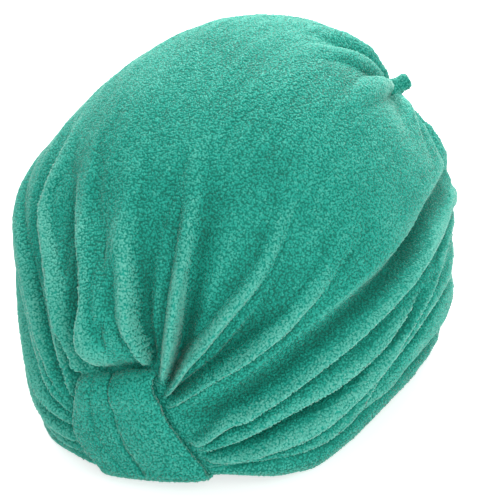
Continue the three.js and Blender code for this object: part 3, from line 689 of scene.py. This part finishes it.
def crown_grid(rows, columns, tuck, inside=False):
    """The crown's surface on a grid of rows from front to back: points, normals, and crest share, which
    also carries painted shade in the creases and in the tuck behind the band.
    """
    u = arc_even_rows(rows)[:, None]
    left = -edge_place(u[:, 0], -1, tuck)[:, None]
    right = edge_place(u[:, 0], 1, tuck)[:, None]
    v = mix(left, right, np.linspace(0, 1, columns)[None, :])
    base = form(u, v)
    steps = np.linalg.norm(np.diff(base, axis=1), axis=2)
    length = np.concatenate([np.zeros((rows, 1)), np.cumsum(steps, 1)], 1)

    def line_distance(centre):
        at = np.array([np.interp(centre[i], v[i], length[i]) for i in range(rows)])
        return length - at[:, None]

    def relief(table, crisp, power=3.0):
        total = np.zeros((rows, columns))
        lean = np.zeros((rows, columns))
        for stations in table.values():
            place, centre, low, high, height, skew = np.array(stations).T
            at = u[:, 0]
            away = line_distance(smooth_line(place, centre, at))
            wide_low = smooth_line(place, low, at)[:, None]
            wide_high = smooth_line(place, high, at)[:, None]
            tall = smooth_line(place, height, at)
            tall = np.where((at < place[0]) | (at > place[-1]), 0, tall)[:, None]
            t = np.where(away < 0, away / wide_low, away / wide_high)
            part = np.maximum(tall, 0) * fold_profile(t, crisp)
            total += part**power
            lean += part**power * part * smooth_line(place, skew, at)[:, None]
        found = total ** (1 / power)
        return found, lean / np.maximum(total, 1e-6)

    folds, lean = relief(FOLDS, 0.9)
    creases, _ = relief(CREASES, 1.3)
    sink = FOLD_SINK * (0.45 + 0.55 * ease(u, 0.08, 0.22))
    folds = folds - sink * averaged(folds, length, 22.0)
    clear = clear_of_band(base)
    out = outward(base)
    across = unit(np.gradient(base, axis=1))

    # Puff above the band: it bulges forward and tucks in behind the band's top
    low_side = smooth_line(PUFF_AT, PUFF_LOW_SIDE, u)
    high_side = smooth_line(PUFF_AT, PUFF_HIGH_SIDE, u)
    t = np.clip((v - (low_side + high_side) / 2) / ((high_side - low_side) / 2), -1, 1)
    wide = (1 - np.abs(t) ** 3) * np.where(t < 0, 1, 1 - 0.35 * t * t)
    height = base[..., 2] - BAND_TOP - band_tilt(base[..., 0])
    above = ease(height, PUFF_FROM, PUFF_TO)
    puff = wide * above * (1 - ease(u, 0.11, 0.27))
    tuck = np.clip(1 - t**6, 0, 1) * np.exp(-(((height - 2) / 5) ** 2)) * (1 - ease(u, 0.05, 0.12))

    # Folds of the gathered tip, by bearing and distance from it
    root = form(*GATHER_PLACE)
    axis = outward(root)
    ahead = unit(form(GATHER_PLACE[0] - 0.02, GATHER_PLACE[1]) - root)
    ahead = unit(ahead - axis * (ahead @ axis))
    aside = np.cross(axis, ahead)
    toward_rim = form(GATHER_PLACE[0], GATHER_PLACE[1] + 0.02) - root
    aside = aside * np.sign(aside @ toward_rim)
    offset = base - root
    flat = offset - axis * (offset @ axis)[..., None]
    reach = np.linalg.norm(offset, axis=-1)
    bearing = np.degrees(np.arctan2(flat @ aside, flat @ ahead))
    tip = np.zeros((rows, columns))
    for fold in TIP_FOLDS:
        turned = bearing - fold["bearing"] - fold["bend"] * reach / 10
        turned = (turned + 180) % 360 - 180
        half = fold["half"] * np.clip(reach / 20, 0.25, 2.2) ** 0.7
        t = np.radians(turned) * reach / half
        part = fold["height"] * fold_profile(t, 1.0) * np.where(np.abs(turned) < 90, 1, 0)
        part = part * ease(reach, 2, 12) * (1 - ease(reach, 0.35 * fold["length"], fold["length"]))
        tip += part**3
    tip = tip ** (1 / 3)
    tip_envelope = 5.0 * ease(reach, 4, 16) * (1 - ease(reach, 25, 75))
    pinch = np.zeros((rows, columns))
    for depth_in, spread in TIP_PINCH:
        pinch = pinch - depth_in * np.exp(-((reach / spread) ** 2))
    near_tip = 1 - ease(reach, 20, 75)

    streaks = wander((rows, columns), (9, 90), 11) * 0.5 + wander((rows, columns), (22, 150), 12) * 0.3
    broad = wander((rows, columns), (5, 14), 13) * 1.2
    quiet = ease(u, 0.03, 0.1) * (1 - ease(u, 0.93, 0.99))
    seam = ease(u, 0.0, 0.03) * (1 - ease(u, 0.97, 1.0))
    from_edge = np.minimum(length, length[:, -1:] - length)
    at_hem = mix(FOLD_LEFT_AT_HEM, 1.0, ease(from_edge, *HEM_FADE))
    lift = (folds * (1 - 0.6 * near_tip) - creases) * at_hem * clear * seam + tip * seam + pinch
    lift = lift + (streaks + broad) * quiet * clear - PUFF_TUCK * tuck
    lift = lift + swell(base) - PILE_HEIGHT - 0.75 * tip_envelope
    follow = INNER_FOLLOW if inside else 1.0
    depth = WALL if inside else 0.0
    p = base + out * ((lift + PUFF_REACH * puff) * follow - depth)[..., None]
    p = p + across * (lean * clear * seam * follow)[..., None]
    p[..., 2] += front_rise(base) - PUFF_DROOP * puff * follow
    relieved = lift + PUFF_REACH * puff
    # How deep each point lies in a hollow, or how high on a crest, against its surroundings: it sets the
    # painted highlight on crests and the painted shade in hollows
    cavity = np.clip((averaged(relieved, length, 13.0) - relieved) / 3.0, -1, 1)
    # Painted shade added in the creases and in the tuck behind the band's top
    cavity = np.clip(cavity + CREASE_PAINTED_SHADE * (creases / 8 + 0.5 * tuck) * clear, -1, 1.8)
    return p, grid_normals(p), -cavity


# Materials
def colour(red, green, blue):
    """An sRGB colour out of 255, as linear light."""
    found = []
    for part in (red, green, blue):
        share = part / 255
        found.append(share / 12.92 if share <= 0.04045 else ((share + 0.055) / 1.055) ** 2.4)
    return (*found, 1.0)


# Colours along the ramp: its pale end carries the painted highlight on crests and loop tips, its dark end
# the painted shade in hollows, creases and between the loops
LIGHT_GREEN = colour(108, 193, 175)
MID_GREEN = colour(28, 162, 143)
DEEP_GREEN = colour(0, 134, 116)
DARK_GREEN = colour(0, 98, 82)


def node(tree, kind, **inputs):
    made = tree.nodes.new(kind)
    for name, value in inputs.items():
        made.inputs[name.replace("_", " ")].default_value = value
    return made


def terry_material(name, pile, bump=0.5):
    """Terry cloth, coloured from its painted light: deep green where shade is painted between the loops, on
    the backing and in the hollows, paler where a highlight is painted on the loop tips and crests.
    """
    material = bpy.data.materials.new(name)
    material.use_nodes = True
    tree = material.node_tree
    tree.nodes.clear()
    link = tree.links.new
    output = tree.nodes.new("ShaderNodeOutputMaterial")
    shader = tree.nodes.new("ShaderNodeBsdfPrincipled")
    shader.inputs["Specular IOR Level"].default_value = 0.22
    shader.inputs["Sheen Weight"].default_value = 0.44
    shader.inputs["Sheen Roughness"].default_value = 0.35
    shader.inputs["Sheen Tint"].default_value = colour(255, 246, 238)
    link(shader.outputs["BSDF"], output.inputs["Surface"])

    place = tree.nodes.new("ShaderNodeTexCoord")
    shade = tree.nodes.new("ShaderNodeAttribute")
    shade.attribute_name = "shade"
    mottle = node(tree, "ShaderNodeTexNoise", Scale=260.0, Detail=3.0, Roughness=0.6)
    drift = node(tree, "ShaderNodeTexNoise", Scale=28.0, Detail=2.0, Roughness=0.5)
    link(place.outputs["Object"], mottle.inputs["Vector"])
    link(place.outputs["Object"], drift.inputs["Vector"])
    ramp = tree.nodes.new("ShaderNodeValToRGB")
    ramp.color_ramp.elements[0].position = 0.0
    ramp.color_ramp.elements[0].color = DARK_GREEN
    ramp.color_ramp.elements[1].position = 1.0
    ramp.color_ramp.elements[1].color = LIGHT_GREEN
    for position, tone in ((0.34, DEEP_GREEN), (0.54, MID_GREEN)):
        ramp.color_ramp.elements.new(position).color = tone
    total = tree.nodes.new("ShaderNodeMath")
    total.operation = "MULTIPLY_ADD"
    total.inputs[1].default_value = 0.3
    link(mottle.outputs["Fac"], total.inputs[0])
    offset = tree.nodes.new("ShaderNodeMath")
    offset.operation = "MULTIPLY_ADD"
    offset.inputs[1].default_value = 0.35
    link(drift.outputs["Fac"], offset.inputs[0])
    lowered = tree.nodes.new("ShaderNodeMath")
    lowered.operation = "SUBTRACT"
    lowered.inputs[1].default_value = 0.325
    link(shade.outputs["Fac"], lowered.inputs[0])
    link(lowered.outputs[0], offset.inputs[2])
    link(offset.outputs[0], total.inputs[2])
    link(total.outputs[0], ramp.inputs["Fac"])
    link(ramp.outputs["Color"], shader.inputs["Base Color"])

    rough = tree.nodes.new("ShaderNodeMapRange")
    rough.inputs["To Min"].default_value = 0.48
    rough.inputs["To Max"].default_value = 0.7
    link(mottle.outputs["Fac"], rough.inputs["Value"])
    link(rough.outputs["Result"], shader.inputs["Roughness"])

    grain = node(tree, "ShaderNodeTexNoise", Scale=900.0 if pile else 700.0, Detail=3.0)
    link(place.outputs["Object"], grain.inputs["Vector"])
    raised = node(tree, "ShaderNodeBump", Strength=bump, Distance=0.0006)
    link(grain.outputs["Fac"], raised.inputs["Height"])
    link(raised.outputs["Normal"], shader.inputs["Normal"])
    return material


CLOTH = terry_material("terry_cloth", pile=False, bump=0.8)
PILE = terry_material("terry_pile", pile=True, bump=0.4)
BAND_CLOTH = terry_material("terry_band_cloth", pile=False, bump=0.8)
BAND_PILE = terry_material("terry_band_pile", pile=True, bump=0.4)


def make_piece(name, points, faces, shade, places, material, facing=None):
    """A mesh piece from points in mm, faces of one size, a shade per point and a place on the flat map.

    facing gives each point's normal where it isn't the mean of its faces'.
    """
    mesh = bpy.data.meshes.new(name)
    faces = np.asarray(faces, np.int32)
    count, sides = faces.shape
    mesh.vertices.add(len(points))
    mesh.vertices.foreach_set("co", (np.asarray(points) * MM).astype(np.float32).ravel())
    mesh.loops.add(count * sides)
    mesh.loops.foreach_set("vertex_index", faces.ravel())
    mesh.polygons.add(count)
    mesh.polygons.foreach_set("loop_start", np.arange(0, count * sides, sides, dtype=np.int32))
    mesh.polygons.foreach_set("use_smooth", np.ones(count, bool))
    mesh.update(calc_edges=True)
    shades = mesh.attributes.new("shade", "FLOAT", "POINT")
    shades.data.foreach_set("value", np.asarray(shade, np.float32).ravel())
    layer = mesh.uv_layers.new(name="OFBake")
    layer.uv.foreach_set("vector", np.asarray(places, np.float32)[faces.ravel()].ravel())
    mesh.materials.append(material)
    mesh.validate()
    if facing is not None:
        mesh.normals_split_custom_set_from_vertices(facing.tolist())
    piece = bpy.data.objects.new(name, mesh)
    bpy.context.scene.collection.objects.link(piece)
    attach(piece, "root")
    return piece


def grid_faces(rows, columns, flip=False):
    i, j = np.meshgrid(np.arange(rows - 1), np.arange(columns - 1), indexing="ij")
    a = i * columns + j
    b = a + 1
    quads = np.stack([a, b, b + columns, a + columns], -1).reshape(-1, 4)
    return quads[:, ::-1] if flip else quads


# The flat map that the surfaces are laid out on, kept clear of its edges
MAP_MARGIN = 0.01
MAP_SPAN = 0.98


def map_places(rows, columns):
    i, j = np.meshgrid(np.linspace(0.01, 0.99, rows), np.linspace(0.01, 0.99, columns), indexing="ij")
    return np.stack([j, i], -1).reshape(-1, 2)


def grid_piece(name, grid, shade, material, flip=False):
    """A piece of cloth whose points are a grid."""
    rows, columns = grid.shape[:2]
    faces = grid_faces(rows, columns, flip)
    places = map_places(rows, columns)
    return make_piece(name, grid.reshape(-1, 3), faces, shade, places, material)


# One tuft of the pile: a loop seen as a small bud, with a tip, a waist of three points and a root
BUD = np.array([(0, 0, 1.0), (1.2, 0, 0.25), (-0.6, 1.04, 0.25), (-0.6, -1.04, 0.25), (0, 0, -0.7)])
BUD_FACES = np.array([(0, 1, 2), (0, 2, 3), (0, 3, 1), (4, 2, 1), (4, 3, 2), (4, 1, 3)])
PILE_SOFTNESS = 0.5
# Painted light on each bud: a painted highlight on its tip and painted shade at its root, between the loops
BUD_PAINTED_LIGHT = np.array([0.08, 0.0, 0.0, 0.0, -0.35])


def sow(points, normals, crest, shade, row_gap, tuft_gap, seed):
    """Tufts in rows over a grid: each one's points, shades, places on the flat map and normals."""
    rng = np.random.default_rng(seed)
    rows, columns = points.shape[:2]
    middle = np.linalg.norm(np.diff(points[:, :: max(columns // 12, 1)], axis=0), axis=2).mean(1)
    length = np.concatenate([[0], np.cumsum(middle)])
    count = int(length[-1] / row_gap)
    found = {"p": [], "n": [], "t": [], "c": [], "s": [], "m": []}
    for r in range(count):
        at = np.interp((r + 0.5) * row_gap, length, np.arange(rows))
        k = min(int(at), rows - 2)
        f = at - k
        line = mix(points[k], points[k + 1], f)
        along = np.concatenate([[0], np.cumsum(np.linalg.norm(np.diff(line, axis=0), axis=1))])
        number = int(along[-1] / tuft_gap)
        if number < 2:
            continue
        where = (np.arange(number) + 0.5 * (r % 2) + rng.uniform(-0.42, 0.42, number)) * tuft_gap
        index = np.interp(where, along, np.arange(columns))
        j = np.minimum(index.astype(int), columns - 2)
        g = (index - j)[:, None]
        spot = mix(line[j], line[j + 1], g)
        here = mix(normals[k][j], normals[k][j + 1], g)
        next_row = mix(normals[k + 1][j], normals[k + 1][j + 1], g)
        normal = unit(mix(here, next_row, f))
        run = unit(line[j + 1] - line[j])
        found["p"].append(spot)
        found["n"].append(normal)
        found["t"].append(run)
        found["c"].append(crest[k][j])
        found["s"].append(shade[k][j])
        map_across = MAP_MARGIN + MAP_SPAN * index / (columns - 1)
        map_along = np.full(number, MAP_MARGIN + MAP_SPAN * at / (rows - 1))
        found["m"].append(np.stack([map_across, map_along], -1))
    spots, normal, run, crests, shades, places = (np.concatenate(found[key]) for key in "pntcsm")
    number = len(spots)
    lean = rng.normal(0, 0.2, (number, 3))
    up = unit(normal + lean)
    side = unit(run - up * np.sum(run * up, -1, keepdims=True))
    other = np.cross(up, side)
    drift = (rng.uniform(-0.48, 0.48, (number, 1)) * row_gap) * other
    size = rng.uniform(0.82, 1.15, (number, 1)) * (1 + 0.12 * np.clip(crests[:, None], 0, 1))
    tall = rng.uniform(0.8, 1.25, (number, 1)) * (1 + 0.25 * np.clip(crests[:, None], 0, 1))
    turn = rng.uniform(0, 2 * np.pi, (number, 1))
    a = side * np.cos(turn) + other * np.sin(turn)
    b = other * np.cos(turn) - side * np.sin(turn)
    wide = 0.66 * tuft_gap * size
    high = 0.46 * tuft_gap * tall
    spots = spots + drift
    buds = (
        spots[:, None]
        + a[:, None] * (wide * BUD[:, 0])[..., None]
        + b[:, None] * (wide * BUD[:, 1])[..., None]
        + up[:, None] * (high * BUD[:, 2])[..., None]
    )
    tone = shades[:, None] + rng.normal(0, 0.05, (number, 1)) + BUD_PAINTED_LIGHT[None, :]
    near = np.repeat(places[:, None], len(BUD), 1)
    near = near + BUD[None, :, :2] * 0.0004
    middle = buds[:, :4].mean(1, keepdims=True)
    facing = unit(PILE_SOFTNESS * normal[:, None] + (1 - PILE_SOFTNESS) * unit(buds - middle))
    return buds, tone, near, facing


def pile_pieces(name, sown, material, most=33000):
    """Pieces of the pile, each with no more tufts than the most that are allowed."""
    buds, tone, places, facing = sown
    parts = max(1, math.ceil(len(buds) / most))
    made = []
    for k, chosen in enumerate(np.array_split(np.arange(len(buds)), parts)):
        base = (np.arange(len(chosen)) * len(BUD))[:, None, None]
        faces = (BUD_FACES[None] + base).reshape(-1, 3)
        made.append(
            make_piece(
                f"{name}_{k + 1}",
                buds[chosen].reshape(-1, 3),
                faces,
                tone[chosen].ravel(),
                places[chosen].reshape(-1, 2),
                material,
                facing[chosen].reshape(-1, 3),
            )
        )
    return made


# Crown
CROWN_ROWS, CROWN_COLUMNS = 190, 380
# Where its edge ends against the hem's top edge: less than 0 runs in behind the hem
UNDER_HEM = -3.0
# Painted highlight on the crests and painted shade in the hollows
CREST_PAINTED_HIGHLIGHT = 0.26
HOLLOW_PAINTED_SHADE = 0.2
points, normals, crest = crown_grid(CROWN_ROWS, CROWN_COLUMNS, UNDER_HEM)
crown_shade = 0.5 + np.where(crest > 0, CREST_PAINTED_HIGHLIGHT, HOLLOW_PAINTED_SHADE) * crest
# The cloth under the pile is painted darker still, as shade beneath the tufts
crown = grid_piece("crown_cloth", points, crown_shade - 0.3, CLOTH)
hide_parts("crown")
crown_pile = pile_pieces(
    "crown_pile", sow(points, normals, crest, crown_shade, ROW_GAP, TUFT_GAP, 21), PILE
)

INSIDE_ROWS, INSIDE_COLUMNS = 90, 160
inner, _, inner_crest = crown_grid(INSIDE_ROWS, INSIDE_COLUMNS, UNDER_HEM, inside=True)
inside_shade = np.full(inner_crest.shape, 0.4)
crown_inside = grid_piece("crown_inside", inner, inside_shade, CLOTH, flip=True)

# Hem: a soft roll round the opening
HEM_STEPS, HEM_SIDES = 420, 26
half_rows = arc_even_rows(HEM_STEPS // 2 + 1)
hem_u = np.concatenate([half_rows, half_rows[-2:0:-1]])
hem_side = np.concatenate([np.ones(HEM_STEPS // 2 + 1), -np.ones(HEM_STEPS // 2 - 1)])
full = fullness(hem_u)
height = mix(HEM_FRONT_HEIGHT, HEM_HEIGHT, full)
thick = mix(WALL, HEM_THICK, full)
down = down_at(hem_u, hem_side)
length = np.linalg.norm(down, axis=1)
middle = form(hem_u, hem_side * (1 - height / 2 / length))
out = outward(middle)
down = unit(down)
rolled_out = np.where(hem_side > 0, ease(hem_u, 0.13, 0.22) * (1 - ease(hem_u, 0.4, 0.6)), 0)
thick = thick + HEM_ROLL * rolled_out
hem_lift = mix(-WALL / 2, HEM_OUT, full) + swell(middle) - PILE_HEIGHT + 0.5 * HEM_ROLL * rolled_out
middle = middle + out * hem_lift[:, None]
middle[:, 2] += front_rise(middle)
turns = np.linspace(0, 2 * np.pi, HEM_SIDES, endpoint=False)
lumps = wander((HEM_STEPS, HEM_SIDES), (60, 3), 31) * 0.5 * full[:, None]
hem = (
    middle[:, None]
    + out[:, None] * (np.cos(turns)[None, :] * (thick[:, None] / 2 + lumps))[..., None]
    + down[:, None] * (np.sin(turns)[None, :] * (height[:, None] / 2 + lumps))[..., None]
)
hem_closed = np.concatenate([hem, hem[:1]])
hem_grid = np.concatenate([hem_closed, hem_closed[:, :1]], 1)
hem_normals = grid_normals(hem_grid)
if np.mean(np.sum(hem_normals[:-1, :-1] * (hem - middle[:, None]), -1)) < 0:
    hem_normals = -hem_normals
backing = np.full(hem_grid.shape[:2], BACKING_PAINTED_SHADE)
rim_hem = grid_piece("hem_roll", hem_grid, backing, CLOTH, flip=True)
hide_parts("rim_hem")
hem_around = np.append(turns, turns[0])
# Painted light on the hem roll: a painted highlight on its outer side and painted shade on its inner side
# and at its top, a little paler towards its foot
hem_painted_light = np.tile(0.42 + 0.16 * np.cos(hem_around) + 0.1 * np.sin(hem_around), (HEM_STEPS + 1, 1))
hem_pile = pile_pieces(
    "hem_pile",
    sow(
        hem_grid,
        hem_normals,
        np.zeros(hem_grid.shape[:2]),
        hem_painted_light,
        ROW_GAP,
        TUFT_GAP,
        22,
    ),
    PILE,
)


# Band
def front_face(x, z):
    """Y of the crown's front at x and z."""
    x, z = np.broadcast_arrays(np.asarray(x, float), np.asarray(z, float))
    low = np.zeros(x.shape)
    high = np.ones(x.shape)
    y = np.full(x.shape, -FRONT_REACH)
    for _ in range(40):
        v = (low + high) / 2
        span = HALF_WIDTH * np.sin(v * RIM_ANGLE)
        reach = np.maximum(np.abs(x - FRONT_SEAM_LEAN * v), 0.5)
        inside = span <= reach
        share = np.clip(reach / np.maximum(span, 1e-6), 0, 1) ** (1 / PLAN_ROUNDNESS)
        p = form(np.arcsin(share) / np.pi, v)
        y = np.where(inside, y, p[..., 1])
        go_low = inside | (p[..., 2] > z)
        low = np.where(go_low, v, low)
        high = np.where(go_low, high, v)
    return y


BAND_TURN = math.pi * TURN_RADIUS
ROLL_TOP = ROLL_RADIUS + BAND_THICK / 2
BAND_ROWS, BAND_COLUMNS = 118, 72
s = np.linspace(-BAND_ROLL, BAND_DROP + BAND_TURN + BAND_INSIDE, BAND_ROWS)[:, None]
t = np.linspace(-1, 1, BAND_COLUMNS)[None, :]
t = np.sign(t) * (1 - (1 - np.abs(t)) ** 1.25)
down_share = s / BAND_DROP
x = band_centre(np.maximum(down_share, 0)) + t * band_half(np.maximum(down_share, 0))
off = 1.5 * CLEARANCE + BAND_THICK / 2
rolled = np.clip(-s / ROLL_RADIUS, 0, None)
z_outer = BAND_TOP - ROLL_TOP * (1 - np.clip(s / BAND_DROP, 0, 1)) - np.clip(s, 0, None)
lifted = 1.4 * ease(z_outer, BAND_TOP - 18, BAND_TOP - ROLL_TOP)
y_outer = front_face(x, np.maximum(z_outer, TURN_HEIGHT)) - off - lifted
y_outer = y_outer + ROLL_RADIUS * (1 - np.cos(rolled))
z_outer = z_outer + ROLL_RADIUS * np.sin(rolled)
face = front_face(x, TURN_HEIGHT) - off
turn = np.clip((s - BAND_DROP) / TURN_RADIUS, 0, np.pi)
z_inner = TURN_HEIGHT + np.clip(s - BAND_DROP - BAND_TURN, 0, None)
back = front_face(x, z_inner) - front_face(x, TURN_HEIGHT)
outer = np.stack([x, y_outer, np.broadcast_to(z_outer, x.shape)], -1)
under = np.stack(
    [
        x,
        face + TURN_RADIUS - TURN_RADIUS * np.cos(turn),
        np.broadcast_to(TURN_HEIGHT - TURN_RADIUS * np.sin(turn), x.shape),
    ],
    -1,
)
inner_leg = np.stack([x, face + 2 * TURN_RADIUS + back, np.broadcast_to(z_inner, x.shape)], -1)
on_outer = (s <= BAND_DROP)[..., None]
on_inner = (s > BAND_DROP + BAND_TURN)[..., None]
band_middle = np.where(on_outer, outer, np.where(on_inner, inner_leg, under))
faced = turn - rolled
facing = np.concatenate([np.zeros_like(faced), -np.cos(faced), -np.sin(faced)], -1)[:, None, :]
rim = np.sqrt(np.clip(1 - np.abs(t) ** 10, 0, 1))
crease_line = -0.04 + 0.05 * np.sin(down_share * 4)
crease = 1.7 * np.exp(-(((t - crease_line) * BAND_HALF_WIDTH / 1.0) ** 2))
crease = crease + 0.6 * np.exp(-(((t + 0.5 - 0.1 * down_share) * BAND_HALF_WIDTH / 1.2) ** 2))
band_swell = 1.2 * np.exp(-(((t - 0.4) / 0.4) ** 2)) + 1.0 * np.exp(-(((t + 0.55) / 0.3) ** 2))
band_swell = band_swell + 1.2 * np.exp(-(((s - 3) / 6) ** 2))
half_thick = BAND_THICK / 2 * np.maximum(rim, 0.02)
outside = band_middle + facing * (half_thick + (band_swell * rim - crease) * on_outer[..., 0])[..., None]
inside_face = band_middle - facing * (half_thick * np.ones_like(x))[..., None]
band_grid = np.concatenate([outside, inside_face[:, ::-1], outside[:, :1]], 1)
band_grid[..., 2] += band_tilt(band_grid[..., 0], down_share)
band_normals = grid_normals(band_grid)
if np.mean(np.sum(band_normals[:, :BAND_COLUMNS] * facing, -1)) < 0:
    band_normals = -band_normals
backing = np.full(band_grid.shape[:2], BACKING_PAINTED_SHADE)
band = grid_piece("band_cloth", band_grid, backing, BAND_CLOTH)
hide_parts("front_band")
# Painted shade along the band's creases
band_crease_painted_shade = np.clip(crease[:, :BAND_COLUMNS] / 1.7, 0, 1) * on_outer[..., 0]
band_shade = np.full(band_grid.shape[:2], 0.5)
band_shade[:, :BAND_COLUMNS] -= 0.35 * band_crease_painted_shade
band_pile = pile_pieces(
    "band_pile",
    sow(
        band_grid.transpose(1, 0, 2),
        band_normals.transpose(1, 0, 2),
        np.full(band_grid.shape[:2], 0.3).T,
        band_shade.T,
        BAND_ROW_GAP,
        BAND_TUFT_GAP,
        23,
    ),
    BAND_PILE,
)

# Gathered tip: a short finger of cloth, standing out of the folds round it
root = form(*GATHER_PLACE)
axis = outward(root)
GATHER_WAY = unit(axis + np.array([0.3, 0.17, -0.14]))
GATHER_LENGTH = 6.6
GATHER_SUNK = 9.0
TIP_STEPS, TIP_SIDES = 40, 28
rise = np.linspace(0, 1, TIP_STEPS)
tip_radius = GATHER_RADIUS * smooth_line(
    [0, 0.3, 0.5, 0.7, 0.86, 0.94, 0.985, 1.0], [2.1, 1.7, 1.12, 0.96, 1.0, 0.84, 0.45, 0.02], rise
)
side = unit(np.cross(GATHER_WAY, np.array([0.0, 0.0, 1.0])))
other = np.cross(GATHER_WAY, side)
turns = np.linspace(0, 2 * np.pi, TIP_SIDES, endpoint=False)
pleats = 1 + 0.1 * np.cos(5 * turns)[None, :] * (1 - rise[:, None])
ring = side[None, :] * np.cos(turns)[:, None] + other[None, :] * np.sin(turns)[:, None]
stem = root - axis * 4.5 + GATHER_WAY * ((GATHER_LENGTH + GATHER_SUNK) * rise - GATHER_SUNK)[:, None]
tip_points = stem[:, None] + ring[None] * (tip_radius[:, None] * pleats)[..., None]
tip_grid = np.concatenate([tip_points, tip_points[:, :1]], 1)
tip_normals = grid_normals(tip_grid)
if np.mean(np.sum(tip_normals[:, :-1] * ring[None], -1)) < 0:
    tip_normals = -tip_normals
backing = np.full(tip_grid.shape[:2], BACKING_PAINTED_SHADE)
tip = grid_piece("tip_cloth", tip_grid, backing, CLOTH, flip=True)
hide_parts("gather_tip")
tip_pile = pile_pieces(
    "tip_pile",
    sow(
        tip_grid,
        tip_normals,
        np.zeros(tip_grid.shape[:2]),
        np.full(tip_grid.shape[:2], 0.52),
        TIP_PILE_GAP,
        TIP_PILE_GAP,
        24,
    ),
    PILE,
)


def standing(x_way, y_way, z_way, place):
    """The matrix of an object that stands at a place, with its own axes along three directions."""
    found = Matrix.Identity(4)
    for k in range(3):
        found[k] = (x_way[k], y_way[k], z_way[k], place[k])
    return found


# Camera, at the photograph's angle
IMAGE_WIDE, IMAGE_HIGH = 478, 500
FOCAL_PIXELS = 2211.0
TARGET = np.array([0.0, 0.0, 0.08])
TARGET_PIXEL = (219.5, 235.2)
DISTANCE = 1.1
AZIMUTH = math.radians(33.3)
ELEVATION = math.radians(24.2)
ROLL = math.radians(8.9)
back = np.array(
    [
        math.sin(AZIMUTH) * math.cos(ELEVATION),
        -math.cos(AZIMUTH) * math.cos(ELEVATION),
        math.sin(ELEVATION),
    ]
)
level = np.array([math.cos(AZIMUTH), math.sin(AZIMUTH), 0.0])
upright = np.cross(back, level)
right = level * math.cos(ROLL) - upright * math.sin(ROLL)
above = level * math.sin(ROLL) + upright * math.cos(ROLL)
aim_right = (TARGET_PIXEL[0] - IMAGE_WIDE / 2) / FOCAL_PIXELS
aim_up = (IMAGE_HIGH / 2 - TARGET_PIXEL[1]) / FOCAL_PIXELS
look = unit(back + right * aim_right + above * aim_up)
right = unit(right - look * (right @ look))
above = np.cross(look, right)
camera_data = bpy.data.cameras.new("photo_camera")
camera_data.lens = FOCAL_PIXELS * camera_data.sensor_width / max(IMAGE_WIDE, IMAGE_HIGH)
camera_data.clip_start = 0.05
camera_data.clip_end = 20
camera = bpy.data.objects.new("photo_camera", camera_data)
bpy.context.scene.collection.objects.link(camera)
place = TARGET + back * DISTANCE
camera.matrix_world = standing(right, above, look, place)
bpy.context.scene.camera = camera

# Floor and light
FLOOR_DROP = 0.0006
low_corner, high_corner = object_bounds()
floor_z = low_corner.z - FLOOR_DROP
floor_mesh = bpy.data.meshes.new("floor")
FLOOR_HALF = 3.0
floor_corners = [
    (x * FLOOR_HALF, y * FLOOR_HALF, floor_z) for x, y in ((-1, -1), (1, -1), (1, 1), (-1, 1))
]
floor_mesh.from_pydata(floor_corners, [], [(0, 1, 2, 3)])
floor = bpy.data.objects.new("floor", floor_mesh)
bpy.context.scene.collection.objects.link(floor)
floor_material = bpy.data.materials.new("pale_floor")
floor_material.use_nodes = True
floor_shader = floor_material.node_tree.nodes["Principled BSDF"]
floor_shader.inputs["Base Color"].default_value = (0.6, 0.6, 0.6, 1)
floor_shader.inputs["Roughness"].default_value = 0.9
floor_shader.inputs["Emission Color"].default_value = (1, 1, 1, 1)
floor_shader.inputs["Emission Strength"].default_value = 0.7
floor_mesh.materials.append(floor_material)

world = bpy.data.worlds.new("studio")
world.use_nodes = True
world.node_tree.nodes["Background"].inputs["Color"].default_value = (1, 1, 1, 1)
world.node_tree.nodes["Background"].inputs["Strength"].default_value = 0.64
bpy.context.scene.world = world


def softbox(name, place, size, power):
    light = bpy.data.lights.new(name, "AREA")
    light.shape = "RECTANGLE"
    light.size, light.size_y = size
    light.energy = power
    lamp = bpy.data.objects.new(name, light)
    bpy.context.scene.collection.objects.link(lamp)
    toward = unit(np.array(place) - TARGET)
    across = unit(np.cross(np.array([0.0, 1.0, 0.0]), toward))
    along = np.cross(toward, across)
    lamp.matrix_world = standing(across, along, toward, place)
    return lamp


softbox("key_above", (-0.45, 0.25, 1.3), (1.2, 1.2), 12)
softbox("top_behind", (-0.1, 1.0, 1.05), (1.1, 0.9), 28)
softbox("fill_right", (1.1, -0.8, 0.9), (1.0, 1.0), 9)
bpy.context.scene.view_settings.view_transform = "Standard"
bpy.context.scene.view_settings.look = "None"
